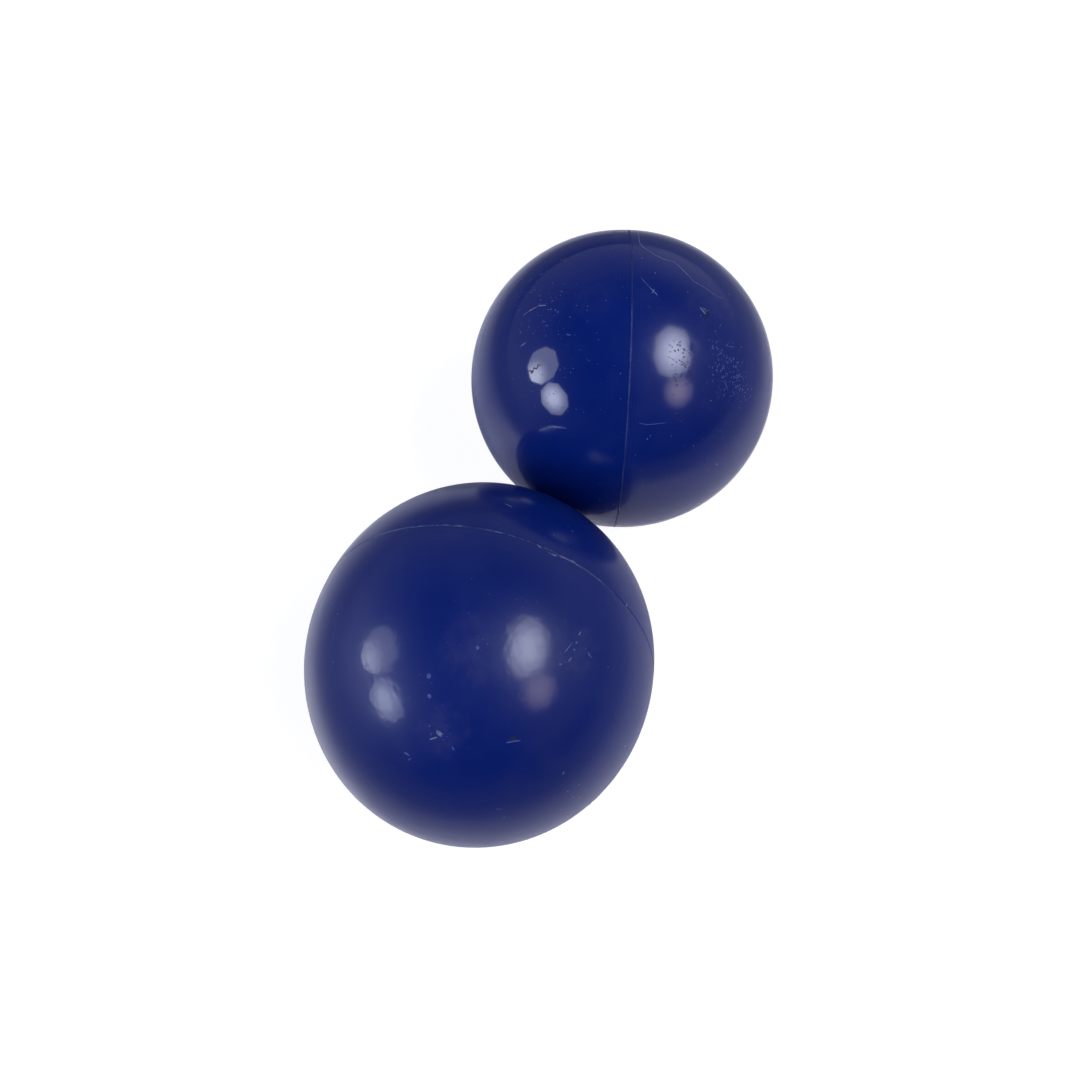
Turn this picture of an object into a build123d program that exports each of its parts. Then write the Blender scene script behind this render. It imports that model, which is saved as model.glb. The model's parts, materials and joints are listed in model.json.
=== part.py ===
from build123d import *
import os
from math import sqrt

# A pair of bocce balls lying side by side on the ground.
#
# Each ball is a hollow plastic shell welded together from two injection-moulded
# halves. The halves meet in a tongue and groove, and the weld leaves a thin proud
# bead round a great circle. Loose ballast fills the shell almost to the top, and
# a flush stepped plug closes the hole that it was poured through.
#
# +Z is up and +X runs from the front ball to the rear ball. The origin is on the
# ground, below the middle of the pair. Lengths are in millimetres.

# Ball
BALL_RADIUS = 53.5  # 107 mm across, the regulation size
WALL = 6.0
RIM_LAND = 0.65  # short straight band at each rim, so a ball is 1.3 mm longer than wide
BALL_GAP = 0.5  # between the two balls, so that a turning bead clears the other ball

# Weld: the tongue of one rim sits in the groove of the other
TONGUE_WIDTH = 2.0
TONGUE_HEIGHT = 1.6
TONGUE_CLEARANCE = 0.05
RIM_CHAMFER = 0.3  # on both rims, a V that the bead fills
BEAD_PROUD = 0.2
BEAD_CLEARANCE = 0.03

# Fill hole and its plug, at the pole of one half
PLUG_FLANGE_RADIUS = 8.0
PLUG_STEM_RADIUS = 6.0
PLUG_SEAT_DEPTH = 3.1  # from the ball's pole down to the flange's seat
PLUG_CLEARANCE = 0.05
PLUG_EDGE_CHAMFER = 0.3
GATE_DIMPLE_RADIUS = 1.5
GATE_DIMPLE_DEPTH = 0.4

# Ballast: loose, so its top stays level while the shell rolls round it
BALLAST_CLEARANCE = 0.3
BALLAST_LEVEL = 38.0  # height of its top above the ball's centre

# The way each ball lies: the direction from its centre to its plug, as a heading
# in the ground plane from +X towards +Y and a tilt above the ground, in degrees
FRONT_HEADING = 12.6
FRONT_TILT = -29.3
REAR_HEADING = -67.4
REAR_TILT = 1.3

CAVITY_RADIUS = BALL_RADIUS - WALL
RIM_MIDDLE = BALL_RADIUS - WALL / 2
BEAD_RADIUS = BALL_RADIUS + BEAD_PROUD


def plug_direction(heading, tilt):
    return Vector(1, 0, 0).rotate(Axis.Y, -tilt).rotate(Axis.Z, heading)


def reach(plug_way, direction):
    """How far a ball reaches from its centre along a unit direction."""
    along = abs(plug_way.dot(direction))
    across = sqrt(1 - along**2)
    return max(BALL_RADIUS + RIM_LAND * along, BEAD_RADIUS * across)


def ball_plane(centre, heading, tilt):
    """The parting plane of a ball, through its centre, facing its fill plug."""
    sideways = Vector(0, 1, 0).rotate(Axis.Z, heading)
    return Plane(origin=centre, x_dir=sideways, z_dir=plug_direction(heading, tilt))


def section_plane(parting):
    """A plane through the ball's axis: local x is the radius, local y the axis."""
    return Plane(origin=parting.origin, x_dir=parting.x_dir, z_dir=-parting.y_dir)


def axis_of(parting):
    return Axis(parting.origin, parting.z_dir)


def height_on_sphere(sphere_radius, radius):
    """Distance along the axis to a sphere's surface, at a radius from the axis."""
    return sqrt(sphere_radius**2 - radius**2)


def write_piece(piece, name):
    piece.part.label = name
    export_step(piece.part, f"parts/{name}.step")


def make_half_plain(name, parting):
    """The half without a hole: its rim carries the tongue."""
    dome = parting.offset(-RIM_LAND)
    with BuildPart() as half_plain:
        with Locations(dome):
            Sphere(BALL_RADIUS)
            Sphere(CAVITY_RADIUS, mode=Mode.SUBTRACT)
        split(bisect_by=dome, keep=Keep.BOTTOM)
        with BuildSketch(dome):
            Circle(BALL_RADIUS)
            Circle(CAVITY_RADIUS, mode=Mode.SUBTRACT)
        extrude(amount=RIM_LAND)
        rim_edges = half_plain.faces().sort_by(axis_of(parting))[-1].edges()
        chamfer(rim_edges.sort_by(SortBy.RADIUS)[-1], RIM_CHAMFER)
        with BuildSketch(parting):
            Circle(RIM_MIDDLE + TONGUE_WIDTH / 2)
            Circle(RIM_MIDDLE - TONGUE_WIDTH / 2, mode=Mode.SUBTRACT)
        extrude(amount=TONGUE_HEIGHT)
    write_piece(half_plain, f"{name}_half_plain")


def make_half_with_hole(name, parting):
    """The half with the fill hole: its rim has the groove."""
    dome = parting.offset(RIM_LAND)
    groove_width = TONGUE_WIDTH + 2 * TONGUE_CLEARANCE
    with BuildPart() as half_with_hole:
        with Locations(dome):
            Sphere(BALL_RADIUS)
            Sphere(CAVITY_RADIUS, mode=Mode.SUBTRACT)
        split(bisect_by=dome, keep=Keep.TOP)
        with BuildSketch(dome):
            Circle(BALL_RADIUS)
            Circle(CAVITY_RADIUS, mode=Mode.SUBTRACT)
        extrude(amount=-RIM_LAND)
        rim_edges = half_with_hole.faces().sort_by(axis_of(parting))[0].edges()
        chamfer(rim_edges.sort_by(SortBy.RADIUS)[-1], RIM_CHAMFER)
        with BuildSketch(parting):
            Circle(RIM_MIDDLE + groove_width / 2)
            Circle(RIM_MIDDLE - groove_width / 2, mode=Mode.SUBTRACT)
        extrude(amount=TONGUE_HEIGHT + TONGUE_CLEARANCE, mode=Mode.SUBTRACT)
        with Locations(dome.offset(BALL_RADIUS)):
            CounterBoreHole(
                radius=PLUG_STEM_RADIUS,
                counter_bore_radius=PLUG_FLANGE_RADIUS,
                counter_bore_depth=PLUG_SEAT_DEPTH,
                depth=2 * WALL,
            )
        hole_edges = half_with_hole.edges().filter_by(GeomType.CIRCLE).filter_by(parting)
        chamfer(hole_edges.sort_by(axis_of(parting))[-1], PLUG_EDGE_CHAMFER)
    write_piece(half_with_hole, f"{name}_half_with_hole")


def make_weld_bead(name, parting):
    """The ring of weld plastic: a V root between the rims and a low crown."""
    root_radius = BALL_RADIUS - RIM_CHAMFER + BEAD_CLEARANCE
    half_width = RIM_CHAMFER - BEAD_CLEARANCE
    with BuildPart() as weld_bead:
        with BuildSketch(section_plane(parting)):
            with BuildLine():
                Polyline(
                    (BALL_RADIUS, half_width),
                    (root_radius, 0),
                    (BALL_RADIUS, -half_width),
                )
                ThreePointArc(
                    (BALL_RADIUS, -half_width),
                    (BEAD_RADIUS, 0),
                    (BALL_RADIUS, half_width),
                )
            make_face()
        revolve(axis=axis_of(parting))
    write_piece(weld_bead, f"{name}_weld_bead")


def make_fill_plug(name, parting):
    """The stepped plug: flush with the ball outside and with the cavity inside."""
    dome = parting.offset(RIM_LAND)
    flange_radius = PLUG_FLANGE_RADIUS - PLUG_CLEARANCE
    stem_radius = PLUG_STEM_RADIUS - PLUG_CLEARANCE
    flange_top = height_on_sphere(BALL_RADIUS, flange_radius)
    stem_end = height_on_sphere(CAVITY_RADIUS, stem_radius)
    seat = BALL_RADIUS - PLUG_SEAT_DEPTH
    with BuildPart() as fill_plug:
        with BuildSketch(section_plane(dome)):
            with BuildLine():
                RadiusArc((0, BALL_RADIUS), (flange_radius, flange_top), BALL_RADIUS)
                Polyline(
                    (flange_radius, flange_top),
                    (flange_radius, seat),
                    (stem_radius, seat),
                    (stem_radius, stem_end),
                )
                RadiusArc((stem_radius, stem_end), (0, CAVITY_RADIUS), -CAVITY_RADIUS)
                Line((0, CAVITY_RADIUS), (0, BALL_RADIUS))
            make_face()
        revolve(axis=axis_of(parting))
        plug_edges = fill_plug.edges().filter_by(GeomType.CIRCLE).filter_by(parting)
        chamfer(plug_edges.sort_by(axis_of(parting))[-1], PLUG_EDGE_CHAMFER)
        with Locations(dome.offset(BALL_RADIUS)):
            Hole(GATE_DIMPLE_RADIUS, depth=GATE_DIMPLE_DEPTH)
    write_piece(fill_plug, f"{name}_fill_plug")


def make_ballast(name, centre):
    """The loose ballast: a ball of grains with a level top."""
    with BuildPart(Plane(origin=centre)) as ballast:
        Sphere(CAVITY_RADIUS - BALLAST_CLEARANCE)
        split(
            bisect_by=Plane.XY.offset(centre.Z + BALLAST_LEVEL),
            keep=Keep.BOTTOM,
        )
    write_piece(ballast, f"{name}_ballast")


def make_ball(name, centre, heading, tilt):
    parting = ball_plane(centre, heading, tilt)
    make_half_plain(name, parting)
    make_half_with_hole(name, parting)
    make_weld_bead(name, parting)
    make_fill_plug(name, parting)
    make_ballast(name, centre)


os.makedirs("parts", exist_ok=True)

# Each ball stands on the ground, and the pair's ends are equally far from the origin
along_pair = Vector(1, 0, 0)
upwards = Vector(0, 0, 1)
front_plug_way = plug_direction(FRONT_HEADING, FRONT_TILT)
rear_plug_way = plug_direction(REAR_HEADING, REAR_TILT)
front_x = -reach(rear_plug_way, along_pair) - BALL_GAP / 2
rear_x = reach(front_plug_way, along_pair) + BALL_GAP / 2
front_centre = Vector(front_x, 0, reach(front_plug_way, upwards))
rear_centre = Vector(rear_x, 0, reach(rear_plug_way, upwards))
print("front centre", front_centre)
print("rear centre", rear_centre)

make_ball("front", front_centre, FRONT_HEADING, FRONT_TILT)
make_ball("rear", rear_centre, REAR_HEADING, REAR_TILT)
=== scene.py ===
import json
import math

import bpy
import numpy as np
from mathutils import Matrix, Vector, noise


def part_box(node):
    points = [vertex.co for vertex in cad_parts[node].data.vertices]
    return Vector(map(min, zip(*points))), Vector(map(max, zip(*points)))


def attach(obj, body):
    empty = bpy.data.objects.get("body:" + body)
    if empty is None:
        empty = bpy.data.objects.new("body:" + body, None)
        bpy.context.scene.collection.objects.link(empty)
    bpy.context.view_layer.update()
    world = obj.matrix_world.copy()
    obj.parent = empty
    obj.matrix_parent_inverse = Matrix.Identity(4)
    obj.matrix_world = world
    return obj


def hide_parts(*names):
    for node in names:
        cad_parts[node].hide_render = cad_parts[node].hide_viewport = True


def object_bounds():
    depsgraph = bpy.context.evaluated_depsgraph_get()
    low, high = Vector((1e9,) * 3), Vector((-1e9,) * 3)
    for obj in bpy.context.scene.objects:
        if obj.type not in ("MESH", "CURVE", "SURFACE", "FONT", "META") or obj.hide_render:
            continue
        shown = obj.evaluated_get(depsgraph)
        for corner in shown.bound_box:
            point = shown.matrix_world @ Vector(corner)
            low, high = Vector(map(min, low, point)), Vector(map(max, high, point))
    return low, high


# A pair of worn blue bocce balls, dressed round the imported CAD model. Metres, +Z up.
#
# Each ball gets two lathed shell halves, a weld bead, a fill plug, sandy ballast, and
# the small scars of years of play. Lathed pieces are made in the ball's own space: the
# origin is its centre, +Z points to its fill plug and +X to the highest point of its seam.
# A place on a ball is (longitude, latitude) in degrees: the seam is the equator, its
# highest point is longitude 0, and latitude rises towards the fill plug.

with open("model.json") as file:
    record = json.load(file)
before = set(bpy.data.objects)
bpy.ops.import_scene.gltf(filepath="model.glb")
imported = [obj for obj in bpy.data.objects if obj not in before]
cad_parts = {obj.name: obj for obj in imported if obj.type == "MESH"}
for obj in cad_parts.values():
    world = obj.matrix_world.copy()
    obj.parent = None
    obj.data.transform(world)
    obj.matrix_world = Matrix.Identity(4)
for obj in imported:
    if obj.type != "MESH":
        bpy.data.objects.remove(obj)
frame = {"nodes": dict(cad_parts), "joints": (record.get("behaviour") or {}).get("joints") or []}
CAD_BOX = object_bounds()

MM = 0.001

# Shell, as in the CAD model
WALL = 6 * MM
TONGUE_WIDTH = 2 * MM
TONGUE_HEIGHT = 1.6 * MM
TONGUE_CLEARANCE = 0.05 * MM
RIM_CHAMFER = 0.3 * MM
PLUG_FLANGE_RADIUS = 8 * MM
PLUG_STEM_RADIUS = 6 * MM
PLUG_SEAT_DEPTH = 3.1 * MM
PLUG_CLEARANCE = 0.05 * MM
PLUG_EDGE_CHAMFER = 0.3 * MM
GATE_DIMPLE_RADIUS = 1.5 * MM
GATE_DIMPLE_DEPTH = 0.4 * MM
BALLAST_CLEARANCE = 0.3 * MM

# Surface detail
COLUMNS = 360  # round a shell half
DOME_ROWS = 84
CAVITY_ROWS = 26
TRIM_REACH = 7.0  # degrees from the seam that the flash trimmer touched
TRIM_PITCH = 1.3  # degrees between its passes
TRIM_DEPTH = 0.022 * MM
TRIM_SPREAD = 34.0  # degrees of longitude round its deepest place
UNEVEN_DEPTH = 0.011 * MM
UNEVEN_WAVES = 3.4  # to a ball's radius
OUTER_SKIN = 0.02 * MM  # weathering fades out over this depth below the surface
DENTS = 26  # in each half
DENT_REACH = (0.8, 2.6)  # millimetres
DENT_DEPTH = (0.01, 0.035)  # of its reach
BEAD_COLUMNS = 1440
BEAD_ROWS = 9
BEAD_SWELL_WAVES = 21  # to a radian
BEAD_GRAIN_WAVES = 160
BEAD_DRIFT_WAVES = 9
BEAD_CROWN = 0.09 * MM
BEAD_HALF_WIDTH = 0.21 * MM
BEAD_DRIFT = 0.04 * MM  # to both sides of the seam
BEAD_DEPTH = 0.02 * MM  # its edges, below the shell's surface
BEAD_OPEN_DEPTH = 0.13 * MM  # and how much lower where the joint is open
BEAD_ROOT_DEPTH = 0.25 * MM  # in the V that the two rims leave
PLUG_COLUMNS = 128
PLUG_EASE = 0.1 * MM  # its small edges
PLUG_RING_RADIUS = 5.2 * MM
PLUG_RING_STEP = 0.09 * MM
GATE_NUB_RADIUS = 0.45 * MM
GATE_NUB_HEIGHT = 0.16 * MM
SAND_COLUMNS = 260
SAND_ROWS = 96  # below its level top
SAND_TOP_ROWS = 53
SAND_GRAIN_WAVES = 900  # to a metre
SAND_HEAP_WAVES = 70
SAND_GRAIN = 0.35 * MM  # unevenness of the top, grain by grain
SAND_HEAP = 1.1 * MM  # and in heaps
SAND_HEAP_FADE = 3 * MM  # beside the wall
SAND_PITS = 0.25 * MM  # all over
SCAR_ROOT = 0.12 * MM  # how far a scar's underside goes into the shell
SCAR_DEEPEST = 0.132 * MM  # and its upper side, where the scar is broken
SCAR_SIDES = 8
SCAR_STEP = 0.55  # of the scar's width
SCAR_MOST_STEPS = 420
SCAR_WIDTH_WAVES = 1100  # to a metre
SCAR_RISE_WAVES = 900
SCAR_BREAK_WAVES = 620
SCAR_SWAY_WAVES = 500
SCAR_SEED_STEP = 1.7
FLECK_RISE = 0.05 * MM
NICK_RISE = 0.03 * MM
NICK_WIDTH = (0.16, 0.4)  # of its length

# Camera and light
CAMERA_PLACE = Vector((-0.0768, -0.0311, 0.2945))
CAMERA_HEADING = 25.8
CAMERA_TILT = -66.4
FIELD = 1.455  # width of the view at unit distance
CAMERA_RISE = -0.0865
SENSOR = 36.0


def direction(heading, tilt):
    """A unit vector from a heading (from +X towards +Y) and a tilt above level, in degrees."""
    h, t = math.radians(heading), math.radians(tilt)
    return Vector((math.cos(t) * math.cos(h), math.cos(t) * math.sin(h), math.sin(t)))


# ---------------------------------------- materials


class Recipe:
    """The node tree of a material or of the world, written as small expressions."""

    def __init__(self, block, coordinates="Object", unit=MM):
        block.use_nodes = True
        self.block = block
        self.tree = block.node_tree
        self.tree.nodes.clear()
        found = self.node("TexCoord").outputs[coordinates]
        self.place = self.vector("SCALE", found, scale=1 / unit)

    def node(self, kind, inputs=None, **settings):
        """A new node. inputs go by name or number, and those that are None are left alone."""
        node = self.tree.nodes.new("ShaderNode" + kind)
        for name, value in settings.items():
            setattr(node, name, value)
        for name, value in (inputs or {}).items():
            if isinstance(value, bpy.types.NodeSocket):
                self.tree.links.new(value, node.inputs[name])
            elif value is not None:
                node.inputs[name].default_value = value
        return node

    def math(self, operation, a, b=None, c=None, clamp=False):
        node = self.node("Math", {0: a, 1: b, 2: c}, operation=operation, use_clamp=clamp)
        return node.outputs[0]

    def vector(self, operation, a, b=None, scale=None):
        node = self.node("VectorMath", {0: a, 1: b, "Scale": scale}, operation=operation)
        found = "Value" if operation in ("LENGTH", "DISTANCE", "DOT_PRODUCT") else "Vector"
        return node.outputs[found]

    def ramp(self, value, low, high, start=0.0, end=1.0, ease="SMOOTHSTEP"):
        """value between low and high becomes start to end."""
        inputs = dict(enumerate((value, low, high, start, end)))
        return self.node("MapRange", inputs, interpolation_type=ease).outputs[0]

    def noise(self, size, detail=2.0, roughness=0.5, place=None):
        """Cloudy noise from 0 to 1; size is its wavelength in millimetres."""
        inputs = {"Vector": place or self.place, "Scale": 1 / size}
        inputs.update({"Detail": detail, "Roughness": roughness})
        return self.node("TexNoise", inputs).outputs["Fac"]

    def cells(self, size, place=None):
        """Distance to the nearest cell point, in cells, and that cell's three random numbers."""
        node = self.node("TexVoronoi", {"Vector": place or self.place, "Scale": 1 / size})
        split = self.node("SeparateColor", {0: node.outputs["Color"]})
        return node.outputs["Distance"], split.outputs

    def specks(self, size, radius, share, place=None):
        """1 in round specks: a cell of this size has one with the chance given by share."""
        distance, (chance, girth, _) = self.cells(size, place)
        chosen = self.math("LESS_THAN", chance, share)
        reach = self.math("MULTIPLY_ADD", girth, radius / size, 0.4 * radius / size)
        return self.math("MULTIPLY", chosen, self.math("LESS_THAN", distance, reach))

    def hairlines(self, heading, spacing, rarity, seed):
        """1 along fine straight scratches that run one way: the fewer, the higher rarity is."""
        inputs = {"Vector": self.place, "Rotation": heading, "Scale": (1.0, 1.0, 0.035)}
        inputs["Location"] = (seed * 7.3, seed * 3.1, seed * 5.7)
        drawn_out = self.node("Mapping", inputs).outputs[0]
        lines = self.noise(spacing, detail=3.0, roughness=0.7, place=drawn_out)
        patch = self.noise(9.0, detail=1.0, place=drawn_out)
        line = self.ramp(lines, 0.5 + rarity, 0.52 + rarity)
        return self.math("MULTIPLY", line, self.ramp(patch, 0.5, 0.6))

    def near(self, spot, reach, soft):
        """1 within reach millimetres of a spot (metres from the centre), fading over soft."""
        distance = self.vector("DISTANCE", self.place, spot / MM)
        ragged = self.math("MULTIPLY_ADD", self.noise(2.5), -2.4 * soft, distance)
        return self.ramp(ragged, reach + soft * 0.2, reach - soft * 1.6)

    def top(self, *masks):
        """The strongest of several masks."""
        strongest = masks[0]
        for mask in masks[1:]:
            strongest = self.math("MAXIMUM", strongest, mask)
        return strongest

    def blend(self, amount, a, b):
        return self.node("Mix", {0: amount, 6: a, 7: b}, data_type="RGBA").outputs[2]

    def bump(self, height, depth, normal=None):
        """height from 0 to 1, depth in millimetres."""
        inputs = {"Strength": 1.0, "Distance": depth * MM, "Height": height, "Normal": normal}
        return self.node("Bump", inputs).outputs[0]

    def show(self, shader):
        world = isinstance(self.block, bpy.types.World)
        self.node("OutputWorld" if world else "OutputMaterial", {0: shader})
        return self.block

    def finish(self, colour, roughness, normal, specular=0.5, polish=None, skin=None):
        """The surface. polish is the roughness of its smooth skin, and skin how much is left."""
        inputs = {"Base Color": colour, "Roughness": roughness, "Normal": normal}
        inputs["Specular IOR Level"] = specular
        if polish is not None:
            inputs.update({"Coat Weight": skin, "Coat Roughness": polish, "Coat Normal": normal})
        return self.show(self.node("BsdfPrincipled", inputs).outputs[0])

    def emission(self, strength, tint=(1, 1, 1)):
        return self.node("Emission", {"Color": (*tint, 1), "Strength": strength}).outputs[0]

    def sum(self, a, b):
        return self.node("AddShader", {0: a, 1: b}).outputs[0]

    def by_ray(self, seen, mirrored):
        """One shader for what the camera sees, and another for what the balls mirror."""
        ray = self.node("LightPath").outputs["Is Camera Ray"]
        return self.node("MixShader", {0: ray, 1: mirrored, 2: seen}).outputs[0]


SHELL_BLUE = (0.0008, 0.0178, 0.200, 1)
SHELL_DEEP = (0.0006, 0.0145, 0.168, 1)
SHELL_HAZE = (0.045, 0.058, 0.225, 1)
WHITENED = (0.13, 0.18, 0.40, 1)
DIRT = (0.030, 0.026, 0.022, 1)
WELD_BLUE = (0.006, 0.022, 0.19, 1)
WELD_RUBBED = (0.030, 0.055, 0.24, 1)
WELD_TORN = (0.26, 0.31, 0.46, 1)
SCAR_SHADE = (0.008, 0.02, 0.15, 1)
PLUG_DEEP = (0.0007, 0.0135, 0.158, 1)
PLUG_BLUE = (0.0010, 0.0180, 0.196, 1)
TURNING_PITCH = 0.45  # millimetres between the rings on the plug
SAND_BROWN = (0.36, 0.25, 0.14, 1)
SAND_TAN = (0.62, 0.50, 0.34, 1)
SAND_BLACK = (0.16, 0.12, 0.10, 1)
SAND_WHITE = (0.78, 0.74, 0.66, 1)
# painted shade for the gaps between sand grains
SAND_GAP_PAINTED_SHADE = (0.10, 0.07, 0.04, 1)

# Fine scratches that run three ways: (heading, spacing in millimetres, rarity, step of the seed)
HAIRLINES = [
    ((0.4, 0.9, 0.3), 0.5, 0.175, 0),
    ((1.3, 0.2, 1.1), 0.4, 0.185, 3),
    ((2.2, 1.4, 0.6), 0.45, 0.19, 5),
]


def shell_material(
    ball, part, polish, veil, seed, skin=1.0, ripple=(3.4, 0.009), scuffed=(), pitted=(), grimy=()
):
    """Moulded plastic: a smooth skin over a faintly scattering body, gone dull in patches.

    polish is the skin's roughness, skin how much of it is left, and veil how strongly the
    body under it scatters white. ripple is the (length, depth) of its waviness in millimetres.
    scuffed, pitted and grimy list the (spot, reach in millimetres) of local damage.
    """
    r = Recipe(bpy.data.materials.new(f"{ball.name}_{part}_plastic"))
    shifted = r.vector("ADD", r.place, (seed * 31.7, seed * 17.3, seed * 23.9))
    clouds = r.noise(26, detail=2.0, place=shifted)
    wear = r.noise(17, detail=2.0, roughness=0.45, place=shifted)
    smear = r.noise(4.5, detail=4.0, roughness=0.6, place=shifted)

    worn = r.ramp(wear, 0.42, 0.80, 0.0, 0.5)
    for spot, reach in scuffed:
        around = r.near(spot, reach, reach * 0.6)
        worn = r.top(worn, r.math("MULTIPLY", around, r.ramp(smear, 0.30, 0.75, 0.2, 1.0)))

    dust = r.specks(size=2.1, radius=0.085, share=0.17, place=shifted)
    flecks = r.specks(size=7.0, radius=0.14, share=0.22, place=shifted)
    lines = r.top(
        *(r.hairlines(way, spacing, rarity, seed + step) for way, spacing, rarity, step in HAIRLINES)
    )

    holes = r.specks(size=26.0, radius=0.24, share=0.25, place=shifted)
    for spot, reach in pitted:
        around = r.near(spot, reach, reach * 0.4)
        pits = r.specks(size=0.75, radius=0.22, share=0.85, place=shifted)
        holes = r.top(holes, r.math("MULTIPLY", around, pits))
    grime = 0.0
    for spot, reach in grimy:
        around = r.near(spot, reach, reach * 0.4)
        grime = r.top(grime, r.math("MULTIPLY", around, r.ramp(smear, 0.38, 0.5)))
    dark = r.top(holes, grime)

    # bands that the flash trimmer left beside the seam
    height = r.vector("DOT_PRODUCT", r.place, ball.axis)
    stripes = r.node("TexNoise", {"W": height, "Scale": 2.6, "Detail": 3.0}, noise_dimensions="1D")
    banded = r.ramp(r.math("ABSOLUTE", height), 8.5, 3.0)
    patchy = r.ramp(r.noise(14, place=shifted), 0.42, 0.64, 0.15, 1.0)
    stripe = r.ramp(stripes.outputs["Fac"], 0.40, 0.62)
    bands = r.math("MULTIPLY", r.math("MULTIPLY", banded, patchy), stripe)

    colour = r.blend(clouds, SHELL_DEEP, SHELL_BLUE)
    colour = r.blend(r.math("MULTIPLY", worn, 0.15 + 0.9 * veil), colour, SHELL_HAZE)
    colour = r.blend(r.math("MULTIPLY", bands, 0.20), colour, SHELL_HAZE)
    colour = r.blend(r.math("MULTIPLY", lines, 0.2), colour, WHITENED)
    colour = r.blend(r.math("MULTIPLY", dust, 0.42), colour, WHITENED)
    colour = r.blend(r.math("MULTIPLY", flecks, 0.85), colour, WHITENED)
    colour = r.blend(r.math("MULTIPLY", dark, 0.7), colour, DIRT)

    rough = r.math("MULTIPLY_ADD", worn, 0.12, 0.40)
    rough = r.math("MULTIPLY_ADD", r.top(dust, flecks, lines, dark), 0.25, rough)
    broken = r.top(
        r.math("MULTIPLY", worn, 0.30),
        r.math("MULTIPLY", bands, 0.45),
        r.math("MULTIPLY", lines, 0.35),
        r.math("MULTIPLY", r.top(dust, flecks), 0.7),
        r.math("MULTIPLY", dark, 0.85),
    )
    left = r.math("MULTIPLY_ADD", broken, -skin, skin)

    rippled = r.bump(r.noise(ripple[0], detail=3.0, place=shifted), ripple[1])
    ridges = r.bump(bands, 0.008, normal=rippled)
    scored = r.bump(r.math("MULTIPLY", r.top(lines, dust, flecks), -1.0), 0.005, normal=ridges)
    holed = r.bump(r.math("MULTIPLY", dark, -1.0), 0.05, normal=scored)
    return r.finish(colour, rough, holed, specular=veil, polish=polish, skin=left)


def weld_material(name, whitened):
    """The bead: the same plastic, whitened where it was rubbed and torn."""
    r = Recipe(bpy.data.materials.new(name))
    rubbed = r.ramp(r.noise(4.5, detail=5.0, roughness=0.7), 0.36, 0.66)
    torn = r.ramp(r.noise(1.1, detail=3.0), 0.48, 0.66)
    colour = r.blend(rubbed, WELD_BLUE, WELD_RUBBED)
    amount = r.math("MULTIPLY", r.math("MULTIPLY", torn, rubbed), whitened)
    colour = r.blend(amount, colour, WELD_TORN)
    rough = r.math("MULTIPLY_ADD", torn, 0.2, 0.38)
    return r.finish(colour, rough, r.bump(r.noise(0.3, detail=3.0), 0.03))


def scar_material(name, fresh, soiled, soil):
    """Torn, whitened plastic with soil worked into it."""
    r = Recipe(bpy.data.materials.new(name))
    grain = r.noise(0.35, detail=4.0, roughness=0.7)
    soiling = r.ramp(r.noise(0.8, detail=3.0), 0.62 - 0.3 * soil, 0.78 - 0.3 * soil)
    colour = r.blend(soiling, fresh, soiled)
    colour = r.blend(r.ramp(grain, 0.40, 0.70, 0.0, 0.6), colour, SCAR_SHADE)
    rough = r.math("MULTIPLY_ADD", grain, 0.3, 0.45)
    return r.finish(colour, rough, r.bump(grain, 0.04), specular=0.3)


def plug_material(ball):
    """Satin plastic, turned rings on the face and a scuffed rim."""
    r = Recipe(bpy.data.materials.new(f"{ball.name}_plug_plastic"))
    height = r.vector("DOT_PRODUCT", r.place, ball.axis)
    upright = r.vector("SCALE", tuple(ball.axis), scale=height)
    radius = r.vector("LENGTH", r.vector("SUBTRACT", r.place, upright))
    turned = r.math("SINE", r.math("MULTIPLY", radius, 2 * math.pi / TURNING_PITCH))
    rings = r.math("MULTIPLY", turned, r.ramp(r.noise(3.0, detail=3.0), 0.35, 0.7, 0.1, 1.0))
    rim = r.ramp(radius, 7.2, 7.9)
    scuffs = r.math("MULTIPLY", rim, r.ramp(r.noise(1.2, detail=4.0), 0.4, 0.65))
    clouds = r.noise(4.0, detail=4.0)
    colour = r.blend(clouds, PLUG_DEEP, PLUG_BLUE)
    colour = r.blend(r.math("MULTIPLY", scuffs, 0.4), colour, WHITENED)
    dust = r.specks(size=1.6, radius=0.1, share=0.2)
    colour = r.blend(r.math("MULTIPLY", dust, 0.4), colour, WHITENED)
    rough = r.math("MULTIPLY_ADD", clouds, 0.14, 0.24)
    rough = r.math("MULTIPLY_ADD", scuffs, 0.25, rough, clamp=True)
    ringed = r.bump(rings, 0.008)
    return r.finish(colour, rough, r.bump(r.noise(0.6, detail=3.0), 0.01, normal=ringed))


def ballast_material():
    """Dry sand: grains of several colours, with painted shade darkening the gaps between them."""
    r = Recipe(bpy.data.materials.new("ballast_sand"))
    distance, (shade, dark, pale) = r.cells(0.55)
    colour = r.blend(shade, SAND_BROWN, SAND_TAN)
    colour = r.blend(r.math("GREATER_THAN", dark, 0.86), colour, SAND_BLACK)
    colour = r.blend(r.math("GREATER_THAN", pale, 0.9), colour, SAND_WHITE)
    # painted shade: the colour darkens towards the gaps between the grains
    colour = r.blend(r.ramp(distance, 0.35, 0.75), colour, SAND_GAP_PAINTED_SHADE)
    rough = r.math("MULTIPLY_ADD", dark, 0.2, 0.7)
    return r.finish(colour, rough, r.bump(r.math("MULTIPLY", distance, -1.0), 0.25), specular=0.3)


# ---------------------------------------- ball space


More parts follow.
